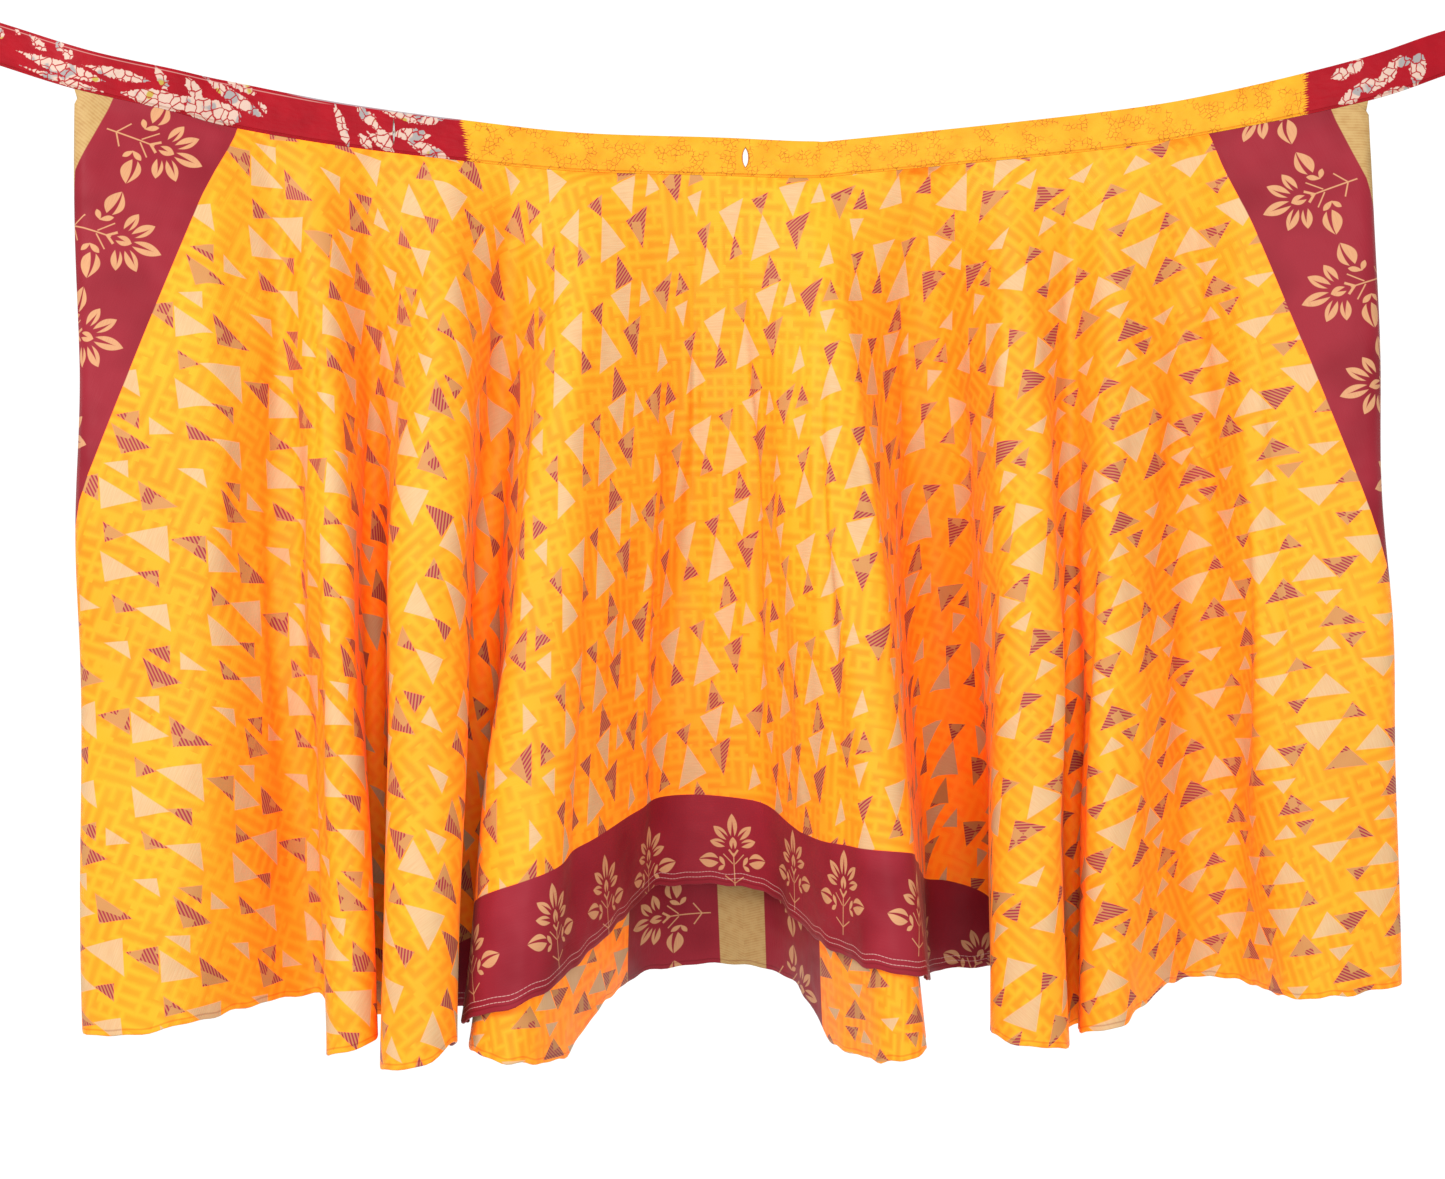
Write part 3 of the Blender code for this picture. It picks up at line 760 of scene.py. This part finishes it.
# %% Triangles on a slanted grid
TILE = ((0.1803, 0.0050), (-0.0227, 0.1131))
LEAN = math.radians(14)
TRIANGLES = (
    # across, along the tile; 1 points right, -1 left; back edge, depth, apex lift in mm; striped
    (0.187, 0.346, 1, 30.5, 12.7, 2.8, 0), (0.424, 0.521, 1, 40.1, 19.8, 1.6, 0),
    (0.599, 0.082, -1, 44.1, 22.3, -1.7, 0), (0.738, 0.248, 1, 50.2, 28.4, 2.3, 0),
    (0.937, 0.832, -1, 43.5, 24.2, -2.8, 0), (0.016, 0.753, 1, 27.2, 13.6, 3.6, 0),
    (0.345, 0.949, -1, 27.9, 13.7, -4, 0), (0.591, 0.349, 1, 26.7, 14, 3.1, 1),
    (0.838, 0.555, 1, 37.7, 21.3, 3.5, 1), (0.217, 0.752, -1, 44.9, 20.1, 2.7, 1),
    (0.268, 0.679, 1, 26.3, 15.2, 2.9, 1), (0.743, 0.929, -1, 25.6, 15.3, 0, 1),
    (0.019, 0.146, -1, 45.3, 22, -2.2, 1), (0.429, 0.246, -1, 30.8, 13.3, -1, 1),
)


def triangle(place, row):
    """Below nothing inside a triangle, in mm: the most of its two slanted sides and its back edge.

    place is a, b and 1 on the tile. One dot product gives the distance back from
    the apex, the other the distance from the middle line.
    """
    a, b, side, back, depth, lift, _ = row
    cos, sin = math.cos(LEAN) * 1e3, math.sin(LEAN) * 1e3
    (pu, pv), (qu, qv) = TILE
    to_apex = np.array([pu * cos + pv * sin, qu * cos + qv * sin]) * side
    aside = np.array([pv * cos - pu * sin, qv * cos - qu * sin]) - lift / depth * to_apex
    near = place.vector("WRAP", (a + 0.5, b + 0.5, 1.5), (a - 0.5, b - 0.5, 0.5))
    x = near.dot(*to_apex, -to_apex @ (a, b) - depth)
    y = near.dot(*aside, -aside @ (a, b))
    return x.scaled(back / 2 / depth, abs(y)).most(-depth - x)


def triangles(place):
    """Masks of the cream and of the tan triangles."""
    (a, b), (c, d) = TILE
    det = a * d - b * c
    place = joined(place.dot(d / det, -c / det), place.dot(-b / det, a / det), 1.0)
    return [
        nearest([triangle(place, row) for row in TRIANGLES if row[-1] == striped]).edge(-1.0)
        for striped in (0, 1)
    ]


# %% [markdown]
# ## The sari's colours
#
# All the sari pieces were cut from one cloth, so one function makes its
# material. It reads the flat cut: v is the distance from the near selvedge.
# First come a woven beige strip and a maroon border with the sprigs, then the
# yellow print. Silk-like cloth shines softly along its folds, which the shader's
# sheen and a fairly low roughness give.

# %% Sari material
YELLOW = linear(335, 189, 46)  # more than 255 is brighter than a screen can show
ORANGE = linear(335, 147, 32)
CREAM = linear(230, 197, 149)
DULL_CREAM = linear(222, 170, 120)
TAN = linear(208, 150, 94)
MAROON = linear(145, 36, 49)
PINK = linear(230, 170, 122)
BEIGE = linear(210, 172, 112)
STRIPE = linear(172, 53, 73)
NEAR_STRIP = 0.037
LINE_EDGE = 0.0008
# sprigs of the near and the far border: place of the first, step to the next,
# distance of the foot from the near selvedge, mm drawn to the metre
NEAR_START, NEAR_EVERY, NEAR_FOOT, NEAR_SCALE = 0.449, 0.098, 0.0455, 1000
FAR_START, FAR_EVERY, FAR_FOOT, FAR_SCALE = 0.0228, 0.1076, 1.192, 1110
RIGHT_FLOWERS = 0.040


def cloth(name, roughness, sheen):
    """A new material with the roughness and sheen of a cloth, and its node tree."""
    material = bpy.data.materials.new(name)
    material.use_nodes = True
    shader = material.node_tree.nodes["Principled BSDF"]
    for socket, value in (
        ("Roughness", roughness), ("Sheen Weight", sheen), ("Sheen Roughness", 0.4),
        ("Sheen Tint", (1.0, 0.7, 0.5, 1)), ("Specular IOR Level", 0.09),
    ):
        shader.inputs[socket].default_value = value
    return material, material.node_tree


def finished(material, colour, height, distance):
    """The material given its colour, and bump from a wire about 0 to 1, its height in metres."""
    tree = material.node_tree
    shader = tree.nodes["Principled BSDF"]
    bump = tree.nodes.new("ShaderNodeBump")
    bump.inputs["Distance"].default_value = distance
    plug(bump.inputs["Height"], height)
    plug(shader.inputs["Normal"], Wire(tree, bump.outputs[0]))
    plug(shader.inputs["Base Color"], colour)
    print(material.name, "has", len(tree.nodes), "nodes")
    return material


def ground(place, u, v, cloudy, fibre):
    """Colour of the printed ground: blocks, then triangles with striped patches."""
    worn = noise(place, 4, 4)
    share = blocks(place) * cloudy.scaled(0.50, 0.26)
    colour = paint(YELLOW, ORANGE, worn.scaled(0.6, share - 0.13))
    cream, tan = triangles(place)
    pale = paint(CREAM, DULL_CREAM, cloudy * 0.5 + fibre * 0.5)
    colour = paint(colour, pale, cream * 0.94)
    colour = paint(colour, TAN, tan * 0.95)
    stripes = (abs(((u + v) * 235.0).wrapped(0.5)) - 0.24).edge(0.16)
    patch = (chance(place, 95, 95, (900, 0)) - 0.42).edge(0.01)
    return paint(colour, STRIPE, tan * patch * stripes.scaled(0.80, 0.18))


def borders(colour, u, v, cloudy, fibre):
    """The maroon borders with their sprigs over the colour, and the far border's mask."""
    far = added(u.tree, "ShaderNodeAttribute", (), "Fac", attribute_name="border").edge(LINE_EDGE)
    near = (NEAR_BORDER - v).edge(LINE_EDGE)
    moved = u + u.edge(0.01) * RIGHT_FLOWERS + NEAR_START
    x_near = moved.wrapped(NEAR_EVERY / 2) * NEAR_SCALE
    x_far = (u + FAR_START).wrapped(FAR_EVERY / 2) * FAR_SCALE
    x = x_near + (x_far - x_near) * far
    y = (v - NEAR_FOOT) * NEAR_SCALE
    y = y + ((FAR_FOOT - v) * FAR_SCALE - y) * far
    maroon = paint(MAROON, linear(176, 52, 66), (cloudy - 0.42).edge(0.35) * 0.5)
    maroon = paint(maroon, PINK, sprig(x, y) * (0.96 - abs(fibre) * 0.3))
    return paint(colour, maroon, near.most(far)), far


def woven_strip(colour, place, u, v):
    """The beige selvedge woven with metal thread, in fine cross ribs."""
    strip = (NEAR_STRIP - v).edge(LINE_EDGE)
    ribs = abs(((u + v * 0.4) * 330.0).wrapped(0.5))
    shine = noise(place, 110, 110)
    zari = paint(BEIGE, linear(186, 138, 82), ribs * 1.3 + (shine - 0.6) * 1.2)
    return paint(colour, zari, strip)


def stitched_hem(colour, far):
    """A dark line beside the rolled hem, and two rows of pale stitches along the far border."""
    _, along_hem, above_hem = coordinates(far.tree, "hem")
    line = (0.0008 - abs(above_hem - 0.0040)).edge(LINE_EDGE)
    colour = paint(colour, (0.55, 0.35, 0.35), line * 0.5, "MULTIPLY")
    dashes = (0.42 - abs((along_hem * 240.0).wrapped(0.5))).edge(0.12)
    rows = (0.00022 - abs(abs(above_hem - 0.01025) - 0.00275)).edge(0.0006)
    return paint(colour, linear(255, 212, 200), rows * dashes * far * 0.9)


def sari(name, with_borders):
    """Material of the sari cloth: its printed ground, and over it the borders and the sewn hem."""
    material, tree = cloth(name, 0.50, 0.06)
    place, u, v = coordinates(tree, "cut")
    cloudy = noise(place, 14, 14)
    streaks = noise(place, 60, 900, 0)
    fibre = streaks.scaled(1.3, -0.65)
    colour = ground(place, u, v, cloudy, fibre)
    if with_borders:
        colour, far = borders(colour, u, v, cloudy, fibre)
        colour = woven_strip(colour, place, u, v)
        colour = stitched_hem(colour, far)
    return finished(material, colour, streaks.scaled(0.09, noise(place, 55, 55, 0)), 0.0012)


# %% [markdown]
# Most of the cloth lies far from any border or hem. Those faces get a material
# with the printed ground alone, so that they render faster. Both draw the same
# ground, so no line shows where they meet.

# %% Dye the layers
plain = sari("printed sari cloth", False)
bordered = sari("printed sari cloth with borders", True)
for obj in (outer, left, right):
    obj.data.materials.append(plain)
    obj.data.materials.append(bordered)

# %% [markdown]
# ## Waistband and ties
#
# The band is a strip folded in four, stitched shut along its lower edge. Its
# section is a flat loop, a little fuller in the middle, carried along the seam
# line. The ties are the same strip going on past the cloth.

# %% Loop carried along the band's line
BAND_HEIGHT = 0.042
BAND_THICK = 0.0032
BAND_RUN = length_along(BAND_LINE)
AROUND = 40


def band_loop(where):
    """Points of the folded strip: a flattened loop, thinner at its stitched lower edge."""
    along = unit(np.gradient(BAND_LINE, axis=0))
    up = unit(np.array([0, 0, 1.0]) - along[:, 2:] * along)
    count = np.arange(len(BAND_LINE))
    known = (BAND_LINE, up, along, BAND[:, 3:])
    line, up, along, tall = (points_along(rows, count, where) for rows in known)
    front = np.cross(along, up)
    front *= np.sign(-front[:, 1:2])
    turn = np.linspace(0, 2 * math.pi, AROUND, endpoint=False)
    c, s = np.cos(turn), np.sin(turn)
    h = 0.5 - 0.5 * np.sign(c) * abs(c) ** 0.35
    out = np.sign(s) * abs(s) ** 0.35 * (0.5 - 0.16 * np.exp(-(((h - 0.06) / 0.03) ** 2)))
    ripple = 0.0005 * np.sin(where / 31) * np.sin(where / 13 + 2) + 0.0003 * np.sin(where / 5.3)
    push = out[:, None] * BAND_THICK + ripple[None, :] * np.sin(math.pi * h)[:, None]
    grid = line[None] + h[:, None, None] * (up * tall)[None] + push[..., None] * front[None]
    run = BAND_RUN[int(where[0])] + length_along(line)[None, :]
    uv = np.stack(np.broadcast_arrays(run, h[:, None] * BAND_HEIGHT), axis=-1)
    return grid, uv


def closed_up(obj):
    """The object with doubled points merged, open ends filled and its faces turned outward."""
    bm = bmesh.new()
    bm.from_mesh(obj.data)
    bmesh.ops.remove_doubles(bm, verts=bm.verts, dist=1e-6)
    edges = [edge for edge in bm.edges if edge.is_boundary]
    bmesh.ops.holes_fill(bm, edges=edges, sides=0)
    for edge in edges:
        edge.smooth = False
    bmesh.ops.recalc_face_normals(bm, faces=bm.faces)
    bm.to_mesh(obj.data)
    bm.free()
    return obj


def band_piece(name, start, end, count):
    """One stretch of the band between two points of its line, closed at both ends."""
    grid, uv = band_loop(np.linspace(start, end, count))
    return closed_up(surface(name, grid, {"band": uv}, closed=True))


band = band_piece("waistband_cloth", SEAM_ENDS[0], SEAM_ENDS[1], 420)
tie_left = band_piece("left_tie_cloth", 0, SEAM_ENDS[0], 60)
tie_right = band_piece("right_tie_cloth", SEAM_ENDS[1], len(BAND_LINE) - 1, 60)

# %% Buttonholes
BUTTONHOLES = (
    # name, x, width, height, thickness of its thread
    ("open", 0.0235, 0.0070, 0.0215, 0.0008),
    ("closed", -0.335, 0.0020, 0.0260, 0.0012),
)


def lens_line(width, height, steps):
    """Outline of a lens, pointed above and below: two arcs of one radius."""
    bulge = (height**2 / width + width) / 4
    half = math.asin(height / 2 / bulge)
    sweep = np.linspace(-half, half, steps)
    side = np.column_stack([bulge * np.cos(sweep) - bulge + width / 2, bulge * np.sin(sweep)])
    return np.vstack([side, -side[1:-1]])


def cut_buttonhole(obj, x, width, height):
    """A lens-shaped hole through the band at this x, cut by a solid that is then removed."""
    k = np.abs(BAND[:, 0] - x).argmin()
    middle = BAND_LINE[k] + (0, 0, BAND[k, 3] / 2)
    outline = lens_line(width, height, 13)
    grid = np.stack([np.insert(outline, 1, y, axis=1) for y in (-0.02, 0.02)], axis=1)
    cutter = closed_up(surface("cutter", grid + middle, closed=True))
    cutter.data.shade_flat()
    cut = obj.modifiers.new("cut", "BOOLEAN")
    cut.operation = "DIFFERENCE"
    cut.object = cutter
    depsgraph = bpy.context.evaluated_depsgraph_get()
    done = bpy.data.meshes.new_from_object(obj.evaluated_get(depsgraph))
    obj.modifiers.clear()
    obj.data = done
    bpy.data.objects.remove(cutter)
    return middle


def rim(name, middle, width, height, thick):
    """Whipped edge of a buttonhole: a ring of thread round the lens, pinched at each stitch."""
    outline = lens_line(width, height, 40)
    run = length_along(outline)
    outward = unit(outline)
    turn = np.linspace(0, 2 * math.pi, 12, endpoint=False)[:, None]
    radius = thick * (1 + 0.22 * np.sin(run / 0.0009 * 2 * math.pi))[None, :]
    flat = outline + outward * (np.cos(turn) * radius)[..., None]
    deep = np.sin(turn) * 0.0023
    grid = np.stack(np.broadcast_arrays(flat[..., 0], deep, flat[..., 1]), axis=-1) + middle
    return closed_up(surface(name, np.concatenate([grid, grid[:, :1]], axis=1), closed=True))


rims = []
for hole_name, x, width, height, thick in BUTTONHOLES:
    middle = cut_buttonhole(band, x, width, height)
    rims.append(rim(f"buttonhole_stitches_{hole_name}", middle, width, height, thick))
print("band has", len(band.data.polygons), "faces after the buttonholes")

# %% [markdown]
# ## The band's print
#
# The strip comes from another sari: yellow with brown crackle in the middle, red
# at both ends with pale leaves that look dyed through cracked wax. The cracks
# are cell edges, so a Voronoi texture draws them.

# %% Band material
RED = linear(178, 18, 36)
DEEP_RED = linear(148, 12, 30)
BAND_YELLOW = linear(262, 184, 44)
BAND_ORANGE = linear(244, 142, 24)
PALE = linear(228, 196, 178)
GREY = linear(170, 164, 162)
OLIVE = linear(198, 172, 78)
MOTIFS = (
    # in mm: x seen from the front, height of the middle, length, width; and the angle
    (-728, 32, 15, 10, -33), (-712, 38, 9, 5, -23), (-691, 34, 26, 9, -25), (-671, 38, 14, 8, -43),
    (-661, 32, 15, 9, -29), (-666, 17, 94, 13, -3), (-661, 5, 82, 7, -2), (-609, 25, 65, 11, -1),
    (-564, 30, 26, 9, -57), (-566, 8, 69, 19, 1), (-520, 10, 78, 22, -4), (-533, 27, 30, 12, -45),
    (-500, 15, 40, 12, -15), (-493, 28, 70, 12, -22), (-486, 39, 36, 8, -13),
    (-462, 24, 15, 5, -45), (-382, 21, 47, 9, -66), (-357, 32, 31, 11, -36), (-323, 39, 41, 11, -1),
    (-296, 37, 35, 9, 15), (-342, 9, 33, 9, -30), (-357, 8, 20, 9, -42), (-313, 20, 43, 12, 3),
    (-294, 6, 47, 13, -16), (-339, 14, 31, 12, -53), (622, 31, 20, 13, 7), (637, 35, 24, 12, 26),
    (626, 7, 26, 12, 17), (646, 14, 30, 14, -4), (667, 18, 34, 13, 33), (684, 27, 26, 10, -9),
    (668, 0, 40, 10, -3), (697, 14, 36, 16, 60),
)


def crackle(place, s, t, scale, width):
    """1 on the cracks: close to the border between two cells of a bent Voronoi texture."""
    bend = noise(place, scale * 0.8, scale * 0.8, 2) * 0.8
    bent = joined(s * scale + bend, t * scale + bend)
    kind = {"voronoi_dimensions": "2D", "feature": "DISTANCE_TO_EDGE"}
    edges = added(place.tree, "ShaderNodeTexVoronoi", (bent,), "Distance", **kind)
    edges.socket.node.inputs["Scale"].default_value = 1
    return (width - edges).edge(width)


FRONT_X = BAND_LINE[:, 0] * 2 / (2 + BAND_LINE[:, 1])


def along_band(x):
    """Distance along the band to the place that lies at x when seen from the front."""
    return float(np.interp(x, FRONT_X, BAND_RUN))


def band_material(name, yellow_from, yellow_to):
    """Material of the strip: yellow crackle between two places, red with leaves beyond them."""
    material, tree = cloth(name, 0.5, 0.10)
    place, s, t = coordinates(tree, "band")
    cloudy = noise(place, 40, 40, 2)
    fine = noise(place, 700, 700)

    in_mm = joined(s * 1e3, t * 1e3, 1.0)
    leaves = []
    for x, up, long, wide, angle in MOTIFS:
        base_x = along_band(x / 1e3) * 1e3 - long / 2 * math.cos(math.radians(angle))
        base_y = up - long / 2 * math.sin(math.radians(angle))
        leaves.append(leaf(in_mm, (base_x, base_y, angle, long, wide, 0.7, 0, 0)))
    ragged = noise(place, 260, 260)
    leaves = (nearest(leaves) - (ragged - 0.5) * 4.5).edge(-0.5)
    red = paint(RED, DEEP_RED, (cloudy - 0.3) * 1.1)
    pale = paint(PALE, GREY, (noise(place, 55, 55, shift=(7, 0)) - 0.62).edge(0.06))
    pale = paint(pale, OLIVE, (noise(place, 48, 48, shift=(31, 0)) - 0.74).edge(0.04))
    pale = paint(pale, RED, crackle(place, s, t, 110, 0.065))
    red = paint(red, pale, leaves)

    comb = abs((t * 410.0).wrapped(0.5))
    feather = comb * 0.010 + noise(place, 3, 300, 0) * 0.005
    slant = s + t * 0.25 + feather
    start, end = along_band(yellow_from), along_band(yellow_to)
    middle = (slant - start).edge(0.0015) * (end - (s - t * 0.2 + feather)).edge(0.0015)
    yellow = paint(BAND_YELLOW, BAND_ORANGE, cloudy - 0.25)
    faint = (noise(place, 60, 60) - 0.52).edge(0.1)
    cracks = crackle(place, s, t, 210, 0.06) * faint
    yellow = paint(yellow, linear(168, 78, 30), cracks * 0.75)
    colour = paint(red, yellow, middle)
    fold = (0.0007 - abs(t - 0.0022)).edge(0.0006)
    colour = paint(colour, (0.75, 0.45, 0.35), fold * 0.5, "MULTIPLY")
    # paler grey in patches over the band's rounded top crest between these two places
    pale_top_edge = (s - along_band(-0.43)).edge(0.02) * (along_band(-0.27) - s).edge(0.02)
    pale_top_edge = pale_top_edge * (t - 0.0405).edge(0.0006)
    colour = paint(colour, linear(180, 172, 178), pale_top_edge * (0.5 + cloudy * 0.6))
    piping = (along_band(-0.40) - s).edge(0.02) * (0.0004 - abs(t - 0.0385)).edge(0.0006)
    colour = paint(colour, linear(226, 170, 160), piping * 0.7)
    height = fine * 0.15 + noise(place, 90, 160) * 0.8 - fold * 0.5
    return finished(material, colour, height, 0.0009)


band_cloth = band_material("printed band cloth", -0.248, 0.586)
for obj in (band, tie_left, tie_right):
    obj.data.materials.clear()
    obj.data.materials.append(band_cloth)


# %% Thread of the buttonholes
def thread(name, colour):
    """Plain sewing thread: a colour that varies a little, and a twist that is only bump."""
    material, tree = cloth(name, 0.6, 0.1)
    place = added(tree, "ShaderNodeTexCoord", (), "Object")
    speckle = noise(joined(place.dot(1, 0, 0), place.dot(0, 0, 1)), 900, 900, 2)
    mixed = paint(colour, tuple(0.6 * c for c in colour), speckle)
    return finished(material, mixed, speckle, 0.0003)


rims[0].data.materials.append(thread("orange thread", linear(240, 150, 60)))
rims[1].data.materials.append(thread("grey thread", linear(190, 160, 140)))

# %% [markdown]
# ## Floor, light and camera
#
# The skirt is lit like goods for a catalogue: white paper that is itself lit
# from behind, so that nothing throws a shadow on it. A large lamp from the upper
# left shades the folds softly, and a weaker one beside the camera reaches into
# the valleys. The camera stands level, two metres in front, where one pixel of
# a 1445 by 1179 picture is 1 mm.

# %% Floor and backdrop
PAPER_LIGHT = 1.08


def sweep(name, depth, height, bend):
    """Pale paper sweep: a floor, a quarter round and a wall, drawn sideways into one surface."""
    turn = np.linspace(0, math.pi / 2, 12)
    profile = np.vstack([
        [(-12.0, height)],
        np.column_stack([depth - bend + bend * np.sin(turn), height + bend - bend * np.cos(turn)]),
        [(depth, height + 5.0)],
    ])
    grid = np.stack([np.column_stack([np.full(len(profile), x), profile]) for x in (-12.0, 12.0)])
    return surface(name, grid[::-1])


floor = sweep("paper_sweep", 10.0, -1.35, 0.8)
paper = bpy.data.materials.new("lit paper")
paper.use_nodes = True
nodes = paper.node_tree.nodes
nodes.remove(nodes["Principled BSDF"])
glow = added(paper.node_tree, "ShaderNodeEmission", ((1, 1, 1, 1), PAPER_LIGHT))
plug(nodes["Material Output"].inputs["Surface"], glow)
paper.cycles.emission_sampling = "NONE"
floor.data.materials.append(paper)

# %% Light
world = bpy.data.worlds.new("pale room")
world.use_nodes = True
background = world.node_tree.nodes["Background"]
background.inputs["Color"].default_value = (1, 1, 1, 1)
background.inputs["Strength"].default_value = 1.0
bpy.context.scene.world = world
bpy.context.scene.view_settings.view_transform = "Standard"


def lamp(name, place, aim, size, power):
    """Square soft lamp at a place, turned so that its face looks at the aim."""
    light = bpy.data.lights.new(name, "AREA")
    light.size = size
    light.energy = power
    obj = placed(name, light)
    way = mathutils.Vector(aim) - mathutils.Vector(place)
    obj.location = place
    obj.rotation_euler = way.to_track_quat("-Z", "Y").to_euler()


lamp("large soft lamp", (-1.7, -2.5, 0.9), (0, 0, -0.6), 1.2, 84)
lamp("front fill", (0.5, -2.8, -0.3), (0, 0, -0.6), 1.6, 50)

# %% Camera
camera = bpy.data.cameras.new("level camera")
camera.lens = 50
camera.sensor_width = 36
camera.clip_end = 50
view = placed("level camera", camera)
view.location = (0, -2.0, -0.557)
view.rotation_euler = (math.pi / 2, 0, 0)
bpy.context.scene.camera = view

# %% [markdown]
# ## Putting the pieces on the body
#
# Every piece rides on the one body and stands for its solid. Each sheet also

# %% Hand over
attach(outer, "root")
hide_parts("outer_layer")
for obj, node_name, area in (
    (left, "under_layer_left", left_area),
    (right, "under_layer_right", right_area),
):
    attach(obj, "root")
    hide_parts(node_name)
for obj, node_name, slot_name in (
    (band, "waistband", "band_yellow"),
    (tie_left, "tie_left", "band_red"),
    (tie_right, "tie_right", "band_red"),
):
    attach(obj, "root")
    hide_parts(node_name)
for obj in rims:
    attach(obj, "root")
